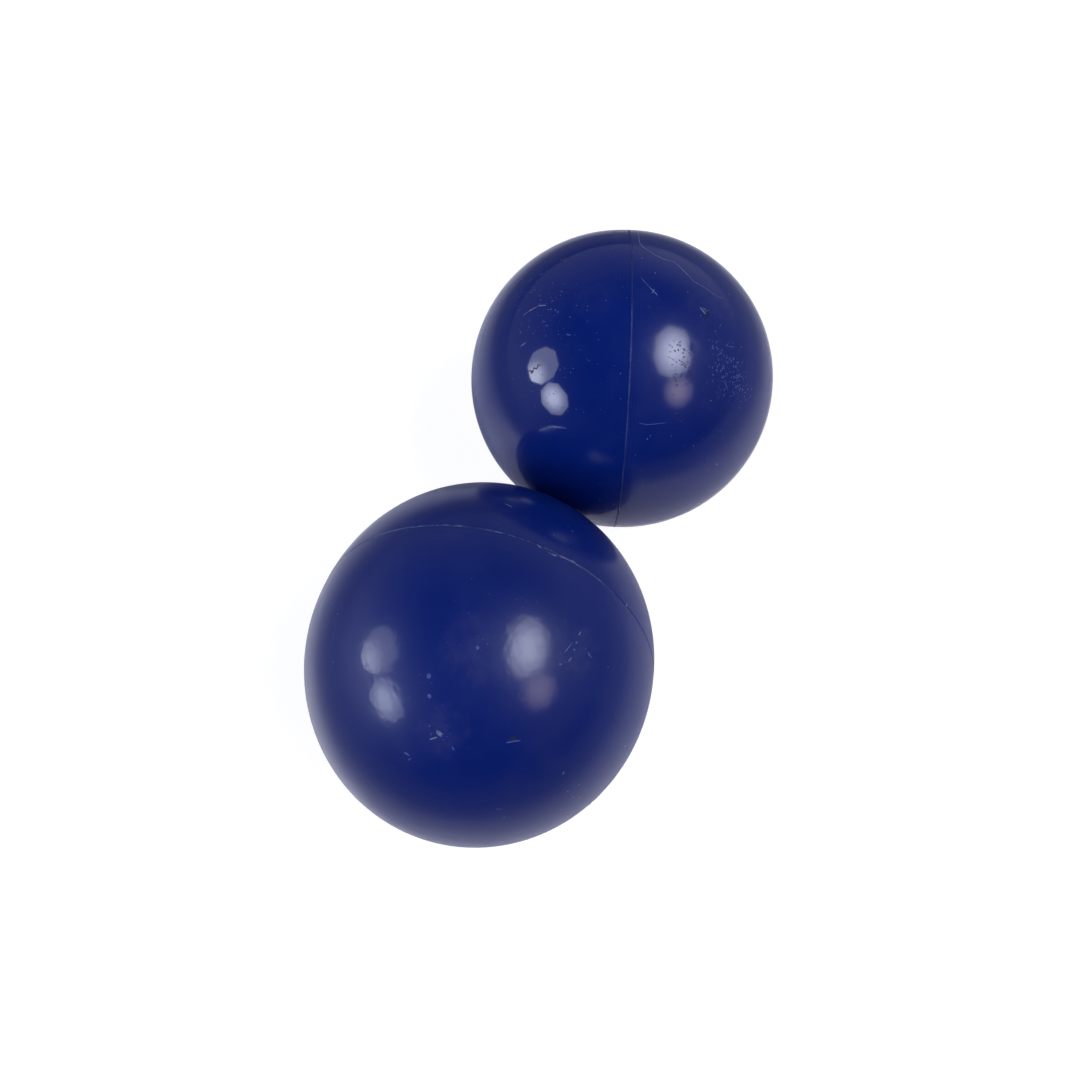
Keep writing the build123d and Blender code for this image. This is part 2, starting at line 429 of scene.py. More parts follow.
class Ball:
    """One ball's place, size and lie, read from the frame."""

    def __init__(self, name):
        self.name = name
        self.body = f"{name}_ball"
        joint = next(j for j in frame["joints"] if j["child"] == self.body)
        self.centre = Vector(joint["pos_m"])
        bead = self.vertices("weld_bead")
        axis = np.linalg.svd(bead, full_matrices=False)[2][2]
        lowest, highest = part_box(f"{name}_fill_plug")
        if axis @ np.array((lowest + highest) / 2 - self.centre) < 0:
            axis = -axis
        self.axis = Vector(axis)
        upward = (Vector((0, 0, 1)) - self.axis.z * self.axis).normalized()
        self.turn = Matrix((upward, self.axis.cross(upward), self.axis)).transposed()
        half = self.vertices("half_plain")
        along = half @ axis
        self.radius = float(np.linalg.norm(half - np.outer(along, axis), axis=1).max())
        self.land = float(-along.min()) - self.radius

    def vertices(self, node):
        mesh = frame["nodes"][f"{self.name}_{node}"].data
        return np.array([v.co for v in mesh.vertices]) - np.array(self.centre)

    def turned(self, vertices):
        """Vertices of the ball's own space, turned the way the ball lies."""
        return np.array(vertices) @ np.array(self.turn).T

    def spot(self, longitude, latitude):
        """A place on the outer surface, from the ball's centre."""
        way = self.turn @ direction(longitude, latitude)
        shift = math.copysign(min(abs(latitude), 1.0), latitude) * self.land
        return way * self.radius + self.axis * shift

    def surface(self, point):
        """The place on the outer surface nearest to a point, and the way out of the ball there."""
        land = max(-self.land, min(self.land, point.dot(self.axis)))
        way = (point - self.axis * land).normalized()
        return way * self.radius + self.axis * land, way


def add_piece(ball, part, vertices, faces, material, body=None, crease=35):
    """A mesh piece that rides on the ball. vertices are measured from the ball's centre."""
    mesh = bpy.data.meshes.new(f"{ball.name}_{part}")
    mesh.from_pydata([tuple(v) for v in vertices], [], faces)
    mesh.validate()
    mesh.polygons.foreach_set("use_smooth", [True] * len(mesh.polygons))
    mesh.set_sharp_from_angle(angle=math.radians(crease))
    mesh.materials.append(material)
    piece = bpy.data.objects.new(mesh.name, mesh)
    bpy.context.scene.collection.objects.link(piece)
    piece.location = ball.centre
    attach(piece, body or ball.body)
    return piece


def lathe(profile, columns, closed):
    """A solid of revolution about Z. profile lists (radius, height); an open one ends on the axis."""
    angles = np.linspace(0, 2 * math.pi, columns, endpoint=False)
    ring = np.stack([np.cos(angles), np.sin(angles)], 1)
    inner = profile if closed else profile[1:-1]
    vertices = [
        np.column_stack([ring * radius, np.full(columns, height)]) for radius, height in inner
    ]
    vertices = np.concatenate(vertices)
    faces = []
    rows = len(inner)
    for row in range(rows if closed else rows - 1):
        here, after = row * columns, (row + 1) % rows * columns
        for column in range(columns):
            right = (column + 1) % columns
            faces.append((here + column, here + right, after + right, after + column))
    if not closed:
        first, last = len(vertices), len(vertices) + 1
        end = (rows - 1) * columns
        vertices = np.vstack([vertices, [0, 0, profile[0][1]], [0, 0, profile[-1][1]]])
        for column in range(columns):
            right = (column + 1) % columns
            faces.append((first, right, column))
            faces.append((last, end + column, end + right))
    return vertices, faces


def arc(radius, centre_height, start, end, steps, crowd=1.0):
    """Points of a sphere's outline from latitude start to end, in degrees. They lie closer
    together towards start where crowd is over 1."""
    share = np.linspace(0, 1, steps) ** crowd
    angles = np.radians(start + (end - start) * share)
    return [(radius * math.cos(a), centre_height + radius * math.sin(a)) for a in angles]


# ---------------------------------------- shell halves


def dents(seed, count):
    """Shallow dents of a played ball: (direction, reach, depth)."""
    rng = np.random.default_rng(seed)
    ways = rng.normal(size=(count, 3))
    ways /= np.linalg.norm(ways, axis=1)[:, None]
    reach = rng.uniform(*DENT_REACH, count) * MM
    return [(w, r, r * rng.uniform(*DENT_DEPTH)) for w, r in zip(ways, reach)]


def weather(ball, vertices, seed, trimmed):
    """Presses the trimmer's facets, a slight unevenness and dents into the outer surface."""
    out = np.array(vertices)
    land = np.clip(out[:, 2], -ball.land, ball.land)
    from_centre = out - np.column_stack([np.zeros((len(out), 2)), land])
    reach = np.linalg.norm(from_centre, axis=1)
    way = from_centre / reach[:, None]
    outer = np.clip((reach - ball.radius + OUTER_SKIN) / OUTER_SKIN, 0, 1)
    latitude = np.degrees(np.arcsin(np.clip(way[:, 2], -1, 1)))
    longitude = np.degrees(np.arctan2(way[:, 1], way[:, 0]))

    sink = np.zeros(len(out))
    for index in np.nonzero(outer > 0)[0]:
        place = Vector(way[index]) * UNEVEN_WAVES + Vector((seed, 0, 0))
        sink[index] = UNEVEN_DEPTH * (1 + noise.noise(place) + 0.4 * noise.noise(place * 2.7))
    passes = np.abs((latitude / TRIM_PITCH) % 1.0 - 0.5)
    fade = np.clip(1 - np.abs(latitude) / TRIM_REACH, 0, 1)
    offset = (longitude - trimmed + 180) % 360 - 180
    along = np.exp(-((offset / TRIM_SPREAD) ** 2))
    sink += TRIM_DEPTH * passes * fade * (0.25 + along)
    for centre, radius, depth in dents(seed, DENTS):
        distance = np.linalg.norm(way - centre, axis=1) * ball.radius / radius
        sink += depth * np.clip(1 - distance**2, 0, 1) ** 2
    return out - way * (sink * outer)[:, None]


def rim_points(ball, side, tongue):
    """The rim's outline from its outer edge to the cavity, as (radius, height from the seam)."""
    middle = ball.radius - WALL / 2
    half = TONGUE_WIDTH / 2 + (0 if tongue else TONGUE_CLEARANCE)
    reach = -TONGUE_HEIGHT if tongue else TONGUE_HEIGHT + TONGUE_CLEARANCE
    return [
        (ball.radius, side * ball.land * 0.75),
        (ball.radius, side * RIM_CHAMFER),
        (ball.radius - RIM_CHAMFER, 0),
        (middle + half, 0),
        (middle + half, side * reach),
        (middle - half, side * reach),
        (middle - half, 0),
        (ball.radius - WALL, 0),
    ]


def make_half_plain(ball, material, seed, trimmed):
    cavity = ball.radius - WALL
    dome = arc(ball.radius, -ball.land, 0, -90, DOME_ROWS, crowd=1.35)
    hollow = arc(cavity, -ball.land, 0, -90, CAVITY_ROWS)
    profile = dome[::-1] + rim_points(ball, -1, tongue=True) + hollow
    profile[0] = (0, -ball.land - ball.radius)
    profile[-1] = (0, -ball.land - cavity)
    vertices, faces = lathe(profile, COLUMNS, closed=False)
    vertices = ball.turned(weather(ball, vertices, seed, trimmed))
    piece = add_piece(ball, "shell_plain", vertices, faces, material)
    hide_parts(f"{ball.name}_half_plain")


def make_half_with_hole(ball, material, seed, trimmed):
    cavity = ball.radius - WALL
    lip = PLUG_FLANGE_RADIUS + PLUG_EDGE_CHAMFER
    lip_latitude = math.degrees(math.acos(lip / ball.radius))
    stem_latitude = math.degrees(math.acos(PLUG_STEM_RADIUS / cavity))
    dome = arc(ball.radius, ball.land, 0, lip_latitude, DOME_ROWS, crowd=1.35)
    hollow = arc(cavity, ball.land, 0, stem_latitude, CAVITY_ROWS)
    seat = ball.land + ball.radius - PLUG_SEAT_DEPTH
    top = ball.land + math.sqrt(ball.radius**2 - PLUG_FLANGE_RADIUS**2)
    bore = [
        (PLUG_STEM_RADIUS, seat),
        (PLUG_FLANGE_RADIUS, seat),
        (PLUG_FLANGE_RADIUS, top - PLUG_EDGE_CHAMFER),
    ]
    profile = dome[::-1] + rim_points(ball, 1, tongue=False) + hollow + bore
    vertices, faces = lathe(profile, COLUMNS, closed=True)
    faces = [face[::-1] for face in faces]
    vertices = ball.turned(weather(ball, vertices, seed, trimmed))
    piece = add_piece(ball, "shell_with_hole", vertices, faces, material)
    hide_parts(f"{ball.name}_half_with_hole")


# ---------------------------------------- weld, plug, ballast


def make_weld_bead(ball, material, seed, worn, open_at):
    """The bead: a V root and an uneven crown. worn lists (longitude, reach) where it is rubbed
    nearly flush, and open_at where it has pulled down into the joint."""
    rows = BEAD_ROWS
    across = np.linspace(-1, 1, rows - 1)
    vertices, faces = [], []

    def share_of(places, longitude):
        """1 well within reach of a place in the list, 0 well beyond it."""
        nearest = min(abs((longitude - place + 180) % 360 - 180) / reach for place, reach in places)
        return min(1.0, max(0.0, (1.15 - nearest) / 0.3))

    for column in range(BEAD_COLUMNS):
        longitude = 360 * column / BEAD_COLUMNS
        way = direction(longitude, 0)
        swell = noise.noise(way * BEAD_SWELL_WAVES + Vector((seed, 0, 0)))
        grain = noise.noise(way * BEAD_GRAIN_WAVES + Vector((0, seed, 0)))
        drift = noise.noise(way * BEAD_DRIFT_WAVES + Vector((0, 0, seed))) * BEAD_DRIFT
        crown = BEAD_CROWN * (1 - 0.75 * share_of(worn, longitude))
        crown = crown * (0.75 + 0.4 * swell + 0.4 * grain)
        sunk = BEAD_DEPTH + BEAD_OPEN_DEPTH * share_of(open_at, longitude)
        width = BEAD_HALF_WIDTH * (1.0 + 0.2 * swell + 0.25 * grain)
        for share in across:
            height = ball.radius - sunk + crown * (1 - share**2)
            vertices.append(way * height + Vector((0, 0, drift + share * width)))
        vertices.append(way * (ball.radius - BEAD_ROOT_DEPTH))
        after = (column + 1) % BEAD_COLUMNS
        for row in range(rows):
            right = (row + 1) % rows
            faces.append(
                (column * rows + row, after * rows + row, after * rows + right, column * rows + right)
            )
    vertices = ball.turned(vertices)
    piece = add_piece(ball, "seam_bead", vertices, faces, material, crease=60)
    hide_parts(f"{ball.name}_weld_bead")


def make_fill_plug(ball, material):
    """The stepped plug: eased edges, a gate dimple with a nub, and a moulded ring."""
    flange = PLUG_FLANGE_RADIUS - PLUG_CLEARANCE
    stem = PLUG_STEM_RADIUS - PLUG_CLEARANCE
    cavity = ball.radius - WALL
    pole = ball.land + ball.radius

    def crown(radius):
        return ball.land + math.sqrt(ball.radius**2 - radius**2)

    bottom = pole - GATE_DIMPLE_DEPTH
    lip = GATE_DIMPLE_RADIUS + 0.08 * MM
    profile = [
        (0, bottom + GATE_NUB_HEIGHT),
        (GATE_NUB_RADIUS * 0.6, bottom + GATE_NUB_HEIGHT - 0.01 * MM),
        (GATE_NUB_RADIUS, bottom + 0.03 * MM),
        (GATE_NUB_RADIUS * 1.2, bottom),
        (GATE_DIMPLE_RADIUS - PLUG_EASE, bottom),
        (GATE_DIMPLE_RADIUS, bottom + PLUG_EASE),
        (GATE_DIMPLE_RADIUS, crown(GATE_DIMPLE_RADIUS) - 0.08 * MM),
        (lip, crown(lip)),
    ]
    groove = PLUG_RING_RADIUS
    edge = flange - PLUG_EDGE_CHAMFER
    for radius in np.linspace(GATE_DIMPLE_RADIUS + 0.3 * MM, groove - 0.25 * MM, 9):
        profile.append((radius, crown(radius)))
    for step in range(5):
        radius = groove + (step - 2) * PLUG_RING_STEP
        profile.append((radius, crown(radius) - PLUG_RING_STEP * (1 - ((step - 2) / 2) ** 2)))
    for radius in np.linspace(groove + 0.25 * MM, edge, 8):
        profile.append((radius, crown(radius)))
    for step in range(1, 5):
        angle = math.radians(90 * step / 4)
        drop = PLUG_EDGE_CHAMFER * (1 - math.cos(angle))
        radius = edge + PLUG_EDGE_CHAMFER * math.sin(angle)
        profile.append((radius, crown(edge) - drop))
    seat = pole - PLUG_SEAT_DEPTH
    profile.append((flange, seat + PLUG_EASE))
    profile.append((flange - PLUG_EASE, seat))
    profile.append((stem, seat))
    end = ball.land + math.sqrt(cavity**2 - stem**2)
    profile.append((stem, end + 0.15 * MM))
    profile.append((stem - 0.15 * MM, end + 0.01 * MM))
    for radius in np.linspace(stem - 0.8 * MM, 0, 6):
        profile.append((radius, ball.land + math.sqrt(cavity**2 - radius**2)))
    vertices, faces = lathe(profile, PLUG_COLUMNS, closed=False)
    faces = [face[::-1] for face in faces]
    piece = add_piece(ball, "plug", ball.turned(vertices), faces, material, crease=40)
    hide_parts(f"{ball.name}_fill_plug")


def make_ballast(ball, material, seed):
    """Loose sand in the cavity: a level but slightly heaped top, grainy all over."""
    radius = ball.radius - WALL - BALLAST_CLEARANCE
    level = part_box(f"{ball.name}_ballast")[1].z - ball.centre.z
    edge = math.degrees(math.asin(level / radius))
    below = arc(radius, 0, edge, -90, SAND_ROWS)
    reach = below[0][0]
    top = [(share * reach, level) for share in np.linspace(0, 1, SAND_TOP_ROWS, endpoint=False)]
    profile = top + below
    profile[-1] = (0, -radius)
    vertices, faces = lathe(profile, SAND_COLUMNS, closed=False)
    faces = [face[::-1] for face in faces]
    moved = []
    for co in vertices:
        point = Vector(co)
        grain = 0.5 + 0.5 * noise.noise(point * SAND_GRAIN_WAVES + Vector((seed, 0, 0)))
        heap = 0.5 + 0.5 * noise.noise(point * SAND_HEAP_WAVES + Vector((0, seed, 0)))
        on_top = point.z > level - 0.01 * MM
        if on_top:
            fade = min(1.0, (reach - point.xy.length) / SAND_HEAP_FADE)
            point.z -= (SAND_GRAIN * grain + SAND_HEAP * heap) * fade
        point -= point.normalized() * SAND_PITS * grain
        moved.append(point)
    load = f"{ball.name}_load"
    piece = add_piece(ball, "sand", moved, faces, material, load, crease=60)
    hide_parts(f"{ball.name}_ballast")


# ---------------------------------------- scars


def even_points(points, spacing):
    """Points about this far apart along the straight lines between the given ones."""
    lengths = [(b - a).length for a, b in zip(points, points[1:])]
    total = sum(lengths)
    count = min(max(5, int(total / spacing)), SCAR_MOST_STEPS)
    found = []
    for step in range(count + 1):
        left = total * step / count
        piece = 0
        while piece < len(lengths) - 1 and left > lengths[piece]:
            left -= lengths[piece]
            piece += 1
        found.append(points[piece].lerp(points[piece + 1], left / lengths[piece]))
    return found


def strand(ball, route, width, proud, seed, vertices, faces, ragged=0.35, broken=0.0):
    """Adds a raised strand along a route of (longitude, latitude) places: a lens section that
    narrows to both ends. Where broken is over 0, stretches of it dip below the surface."""
    middle_line = even_points([ball.spot(*place) for place in route], SCAR_STEP * width)
    count = len(middle_line) - 1
    start = len(vertices)
    sides = SCAR_SIDES
    for step, point in enumerate(middle_line):
        place, way = ball.surface(point)
        before = middle_line[max(0, step - 1)]
        after = middle_line[min(count, step + 1)]
        across = way.cross(after - before).normalized()
        jitter = noise.noise(place * SCAR_WIDTH_WAVES + Vector((seed, 0, 0)))
        share = step / count
        taper = min(1.0, 4.5 * share * (1 - share)) ** 0.6 + 0.02
        half = 0.5 * width * taper * (1 + 1.4 * ragged * jitter)
        swell = noise.noise(place * SCAR_RISE_WAVES - Vector((seed, 0, 0)))
        gap = noise.noise(place * SCAR_BREAK_WAVES + Vector((seed, seed, 0)))
        sway = noise.noise(place * SCAR_SWAY_WAVES + Vector((0, seed, 0)))
        dip = max(0.0, gap + 0.5 * broken - 0.25)
        rise = proud * taper * (1 + 1.6 * ragged * swell) - proud * 7 * broken * dip
        shift = across * width * ragged * 0.6 * sway
        for side in range(sides):
            angle = 2 * math.pi * side / sides
            lift = math.sin(angle)
            height = max(rise * lift if lift > 0 else SCAR_ROOT * lift, -SCAR_DEEPEST)
            vertices.append(place + shift + across * half * math.cos(angle) + way * height)
    for step in range(count):
        here, after = start + step * sides, start + (step + 1) * sides
        for side in range(sides):
            right = (side + 1) % sides
            faces.append((here + side, after + side, after + right, here + right))
    faces.append(tuple(start + side for side in range(sides)))
    faces.append(tuple(start + count * sides + side for side in reversed(range(sides))))


def fleck(ball, place, size, heading, seed, vertices, faces, proud=FLECK_RISE):
    """Adds a short blob: size is (length, width) in metres, heading is from east to north."""
    longitude, latitude = place
    half = math.degrees(size[0] / 2 / ball.radius)
    turn = math.radians(heading)
    north = half * math.sin(turn)
    east = half * math.cos(turn) / max(0.2, math.cos(math.radians(latitude)))
    route = [(longitude - east, latitude - north), (longitude + east, latitude + north)]
    strand(ball, route, size[1], proud, seed, vertices, faces, ragged=0.6)


def make_scars(ball, part, material, strands=(), flecks=(), scatter=()):
    """One piece that holds a set of scars of the same finish."""
    vertices, faces = [], []
    seed = 1.0
    for route, width, proud, broken in strands:
        strand(ball, route, width * MM, proud * MM, seed, vertices, faces, broken=broken)
        seed += SCAR_SEED_STEP
    for place, length, width, heading in flecks:
        fleck(ball, place, (length * MM, width * MM), heading, seed, vertices, faces)
        seed += SCAR_SEED_STEP
    rng = np.random.default_rng(len(strands) * 100 + len(flecks))
    for place, spread, count, low, high in scatter:
        for _ in range(count):
            latitude = place[1] + rng.normal() * spread
            longitude = place[0] + rng.normal() * spread / math.cos(math.radians(place[1]))
            length = rng.uniform(low, high)
            size = (length * MM, length * rng.uniform(*NICK_WIDTH) * MM)
            heading = rng.uniform(0, 180)
            fleck(ball, (longitude, latitude), size, heading, seed, vertices, faces, NICK_RISE)
            seed += SCAR_SEED_STEP
    add_piece(ball, part, vertices, faces, material, crease=50)


# A strand is (route, width, height, how broken), a fleck is (place, length, width, heading) and
# a scatter is (middle, spread, number, shortest, longest): places in degrees, sizes in millimetres.
REAR_STRANDS = [
    # a stray thread of plastic, smeared from the seam over the crown
    ([(-42, 2.4), (-28, 2.3), (-24.5, 3.4), (-20, 7.5), (-18.2, 11), (-18.3, 13.8), (-14, 17.6),
      (-10.5, 20.5), (-9.5, 24), (-7.5, 29.5), (-8, 33)], 0.20, 0.03, 0.25),
    ([(-7.8, 2), (-4, 4.8)], 0.15, 0.03, 0.6),
    ([(-4, 4.8), (-0.6, 7.8)], 0.32, 0.05, 0.5),
    ([(-3.2, 6.6), (-1.2, 5.6)], 0.2, 0.04, 0.3),
    ([(0.6, 22.2), (2.9, 24.6)], 0.62, 0.07, 0.25),
    ([(0.2, 23.4), (1.8, 25.2)], 0.3, 0.05, 0.5),
    ([(1, -37.6), (-0.4, -33), (-0.6, -31.6)], 0.36, 0.05, 0.55),
    ([(-0.8, -31.8), (0.2, -28)], 0.36, 0.05, 0.6),
    ([(15.6, -38.2), (14, -35)], 0.36, 0.05, 0.6),
    ([(82, 0.2), (78.5, -0.1)], 0.55, 0.08, 0.3),
]
REAR_FLECKS = [
    ((-10.4, 7), 0.5, 0.35, 20),
    ((-17.4, 2.8), 0.4, 0.3, 70),
    ((-20.5, 0.1), 0.6, 0.35, 90),
    ((47.7, 6.2), 0.7, 0.5, 40),
    ((46.5, 7.1), 0.5, 0.3, 120),
    ((53.6, 2.7), 0.35, 0.3, 0),
    ((63.7, 33.7), 0.6, 0.5, 30),
    ((51.5, 22.5), 0.4, 0.3, 80),
    ((75.5, -6.3), 0.4, 0.3, 15),
    ((12.8, 26), 0.4, 0.3, 60),
    ((26.4, -2.3), 0.35, 0.25, 10),
]
REAR_NICKS = [
    ([(48.6, -28), (46.6, -23.8), (46.3, -19)], 0.26, 0.02, 0.3),
    ([(42.2, 3), (42.7, 6), (42, 12.5)], 0.22, 0.02, 0.35),
    ([(13.2, -20.6), (13.8, -18.9)], 0.3, 0.03, 0.2),
    ([(18, 29), (16.5, 31)], 0.25, 0.03, 0.2),
    ([(13.4, 33), (13, 37)], 0.22, 0.03, 0.4),
    ([(24, 38), (25.5, 42)], 0.3, 0.03, 0.4),
    ([(27, 32.5), (31, 34.5)], 0.2, 0.03, 0.4),
    # the sides away from the camera
    ([(-60, 52), (-52, 56), (-47, 57)], 0.3, 0.04, 0.45),
    ([(-105, 30), (-99, 34), (-97, 40)], 0.3, 0.04, 0.5),
    ([(150, 20), (158, 26), (161, 33)], 0.35, 0.04, 0.5),
    ([(120, 52), (128, 50)], 0.4, 0.05, 0.5),
    ([(-150, 62), (-136, 66)], 0.3, 0.04, 0.5),
    ([(-120, -35), (-112, -30)], 0.35, 0.04, 0.5),
    ([(-172, -24), (-165, -18), (-163, -12)], 0.3, 0.04, 0.5),
    ([(95, -42), (104, -40), (108, -36)], 0.3, 0.04, 0.5),
    ([(160, -60), (176, -57)], 0.35, 0.04, 0.5),
]
REAR_NICK_SCATTER = [
    ((23, 35), 4.2, 110, 0.3, 1.0),
    ((30, 41), 3.2, 50, 0.3, 1.0),
    ((16, 29), 2.4, 14, 0.4, 1.1),
    ((-2, -24), 5.0, 22, 0.3, 0.9),
    ((-16, -34), 4.0, 20, 0.3, 0.8),
    ((8, -30), 2.5, 16, 0.3, 0.8),
    ((18, -22), 5.0, 16, 0.2, 0.5),
    ((32, -26), 7.0, 34, 0.3, 0.7),
    ((2, 27), 4.0, 14, 0.25, 0.8),
    ((0, 5), 3.5, 8, 0.2, 0.5),
    ((2, -34), 5.0, 14, 0.3, 0.9),
    ((40, -10), 16.0, 30, 0.2, 0.5),
    ((50, 30), 12.0, 30, 0.2, 0.6),
    ((10, -12), 14.0, 22, 0.25, 0.7),
    ((62, 15), 9.0, 14, 0.25, 0.5),
    ((-60, 45), 14.0, 60, 0.3, 1.0),
    ((-110, 15), 16.0, 60, 0.3, 1.0),
    ((120, 40), 16.0, 60, 0.3, 1.0),
    ((170, 10), 16.0, 60, 0.3, 1.0),
    ((-160, 60), 10.0, 50, 0.4, 1.3),
    ((150, -45), 16.0, 60, 0.3, 1.0),
    ((-130, -40), 16.0, 60, 0.3, 1.0),
    ((95, -20), 12.0, 40, 0.3, 0.8),
]
REAR_GRIME = [
    ([(27.4, -35), (26, -33.6), (26.6, -32.4), (25, -32), (25.4, -30.8), (23.8, -30.4),
      (24.2, -29.4), (22.8, -29)], 0.34, 0.03, 0.15),
    ([(27.2, -33.2), (26.2, -32.2)], 0.8, 0.03, 0.0),
    ([(-22.9, -24.4), (-22, -22.6), (-20.8, -21.8)], 0.75, 0.03, 0.2),
    ([(-23.4, -21.8), (-21.6, -22.8)], 0.45, 0.03, 0.2),
    ([(32.2, 13.6), (32.8, 14.2)], 0.5, 0.02, 0.0),
]
FRONT_STRANDS = [
    # flash torn along the weld, left in beads
    ([(12.6, 0.1), (14.2, -0.4)], 0.55, 0.10, 0.2),
    ([(14.6, -0.5), (17.6, -0.7)], 0.26, 0.06, 0.5),
    ([(17.4, -0.7), (19.4, -0.5)], 0.5, 0.10, 0.3),
    ([(19.6, -0.4), (23.8, 0)], 0.26, 0.07, 0.5),
    ([(23.6, 0.1), (25.4, 0.2)], 0.5, 0.10, 0.3),
    ([(25.6, 0.1), (36, 0.1)], 0.2, 0.05, 0.65),
    ([(-46, 0), (-36, 0.1), (-24, 0)], 0.26, 0.09, 0.65),
    ([(-21, 0), (-8, 0.1)], 0.22, 0.09, 0.8),
    ([(-6, 0.1), (10, 0)], 0.18, 0.08, 0.85),
    ([(-0.6, 13.8), (2.2, 12.7)], 0.34, 0.05, 0.3),
    ([(-2.4, -57.6), (0.6, -59)], 0.85, 0.08, 0.35),
    ([(-5.6, -60.6), (-1.6, -59.4)], 0.4, 0.05, 0.5),
    ([(33.6, -18), (33.4, -19.6)], 0.42, 0.04, 0.35),
]
FRONT_FLECKS = [
    ((22.7, 12.7), 0.6, 0.5, 60),
    ((20.9, 13.8), 0.3, 0.25, 0),
    ((47.2, 0.2), 0.8, 0.5, 90),
    ((-48.5, -24.1), 0.5, 0.35, 0),
    ((-52, -37.2), 0.5, 0.35, 90),
    ((63.5, -49.2), 1.1, 0.6, 140),
    ((79.7, -27.1), 0.6, 0.4, 0),
    ((47.8, -20.7), 0.45, 0.3, 0),
]
FRONT_NICKS = [
    ([(33.6, -21.2), (33.9, -22)], 0.6, 0.03, 0.2),
    ([(33.9, -23.4), (34.2, -24)], 0.6, 0.03, 0.2),
    ([(34.4, -25.8), (34, -27.4)], 0.5, 0.03, 0.5),
    ([(32.6, -28.8), (31.6, -29.4)], 0.4, 0.02, 0.4),
    ([(32.6, -22), (31.4, -26)], 0.3, 0.02, 0.5),
    ([(7, -60.8), (9, -61.6)], 0.4, 0.03, 0.4),
    ([(-22, -65), (-18, -66)], 0.5, 0.03, 0.5),
    ([(-20, -67.4), (-17, -66.6)], 0.3, 0.03, 0.4),
    ([(38.4, -21.8), (40.8, -22.4)], 0.4, 0.03, 0.3),
    ([(-8.6, -44.8), (-9.4, -43.6)], 0.9, 0.03, 0.3),
    ([(-8.4, -49.6), (-7.2, -48.8)], 1.0, 0.04, 0.2),
    ([(5, -34), (5.6, -35)], 0.8, 0.02, 0.3),
    ([(30, -53.8), (35, -51)], 0.4, 0.03, 0.5),
    # the sides away from the camera
    ([(100, -40), (106, -34), (107, -28)], 0.35, 0.04, 0.5),
    ([(80, 30), (88, 34), (91, 40)], 0.3, 0.04, 0.5),
    ([(110, 14), (118, 12)], 0.4, 0.05, 0.5),
    ([(-80, 22), (-74, 28), (-72, 34)], 0.3, 0.04, 0.5),
    ([(-110, -30), (-102, -27)], 0.4, 0.04, 0.5),
    ([(-140, 44), (-130, 47), (-124, 47)], 0.3, 0.04, 0.5),
    ([(170, -20), (178, -14), (181, -8)], 0.35, 0.04, 0.5),
    ([(150, 56), (164, 58)], 0.3, 0.04, 0.5),
]
FRONT_NICK_SCATTER = [
    ((-1, -58.6), 1.6, 12, 0.3, 0.9),
    ((-9, -47), 3.0, 12, 0.2, 0.6),
    ((34, -24), 2.6, 12, 0.2, 0.6),
    ((3, -35), 4.0, 14, 0.2, 0.5),
    ((-50, -25), 3.0, 8, 0.2, 0.5),
    ((8, -15), 12.0, 22, 0.2, 0.5),
    ((20, 14), 9.0, 12, 0.2, 0.5),
    ((105, -35), 16.0, 60, 0.3, 1.0),
    ((95, 28), 16.0, 60, 0.3, 1.0),
    ((-85, 25), 16.0, 60, 0.3, 1.0),
    ((-110, -30), 16.0, 60, 0.3, 1.0),
    ((-145, 45), 12.0, 50, 0.4, 1.3),
    ((165, 10), 16.0, 60, 0.3, 1.0),
    ((170, -45), 16.0, 60, 0.3, 1.0),
]


# ---------------------------------------- the two balls


def make_rear_ball(sand, scuffs, nicks, dirt):
    ball = Ball("rear")
    plain = shell_material(
        ball, "plain", polish=0.06, veil=0.04, seed=1.0,
        scuffed=[(ball.spot(0, -33), 7), (ball.spot(2, -11), 5)],
    )
    with_hole = shell_material(
        ball, "with_hole", polish=0.12, veil=0.14, seed=2.0, skin=0.94,
        scuffed=[(ball.spot(23, 35), 11), (ball.spot(2, 24), 5)],
        pitted=[(ball.spot(20, 16.5), 4.2), (ball.spot(26, 17.5), 3.2)],
        grimy=[(ball.spot(2.6, 24.6), 1.0)],
    )
    make_half_plain(ball, plain, 1, trimmed=25)
    make_half_with_hole(ball, with_hole, 2, trimmed=25)
    weld = weld_material("rear_weld_plastic", whitened=0.15)
    make_weld_bead(ball, weld, 3, worn=[(25, 18), (140, 30)], open_at=[(-130, 12)])
    make_fill_plug(ball, plug_material(ball))
    make_ballast(ball, sand, 5)
    make_scars(ball, "scars", scuffs, REAR_STRANDS, REAR_FLECKS)
    make_scars(ball, "nicks", nicks, REAR_NICKS, scatter=REAR_NICK_SCATTER)
    make_scars(ball, "grime", dirt, REAR_GRIME)


def make_front_ball(sand, scuffs, nicks):
    ball = Ball("front")
    plain = shell_material(
        ball, "plain", polish=0.11, veil=0.29, seed=4.0, skin=0.53, ripple=(1.9, 0.045),
        scuffed=[(ball.spot(-1, -58), 5), (ball.spot(34, -24), 6), (ball.spot(4, -35), 6)],
        grimy=[(ball.spot(32, -52), 0.6)],
    )
    with_hole = shell_material(
        ball, "with_hole", polish=0.11, veil=0.16, seed=6.0, skin=0.66, ripple=(1.9, 0.025),
        scuffed=[(ball.spot(0, 14), 4)],
    )
    make_half_plain(ball, plain, 6, trimmed=150)
    make_half_with_hole(ball, with_hole, 7, trimmed=150)
    weld = weld_material("front_weld_plastic", whitened=0.6)
    make_weld_bead(ball, weld, 8, worn=[(0, 20), (-120, 30)], open_at=[(62, 24)])
    make_fill_plug(ball, plug_material(ball))
    make_ballast(ball, sand, 10)
    make_scars(ball, "scars", scuffs, FRONT_STRANDS, FRONT_FLECKS)
    make_scars(ball, "nicks", nicks, FRONT_NICKS, scatter=FRONT_NICK_SCATTER)


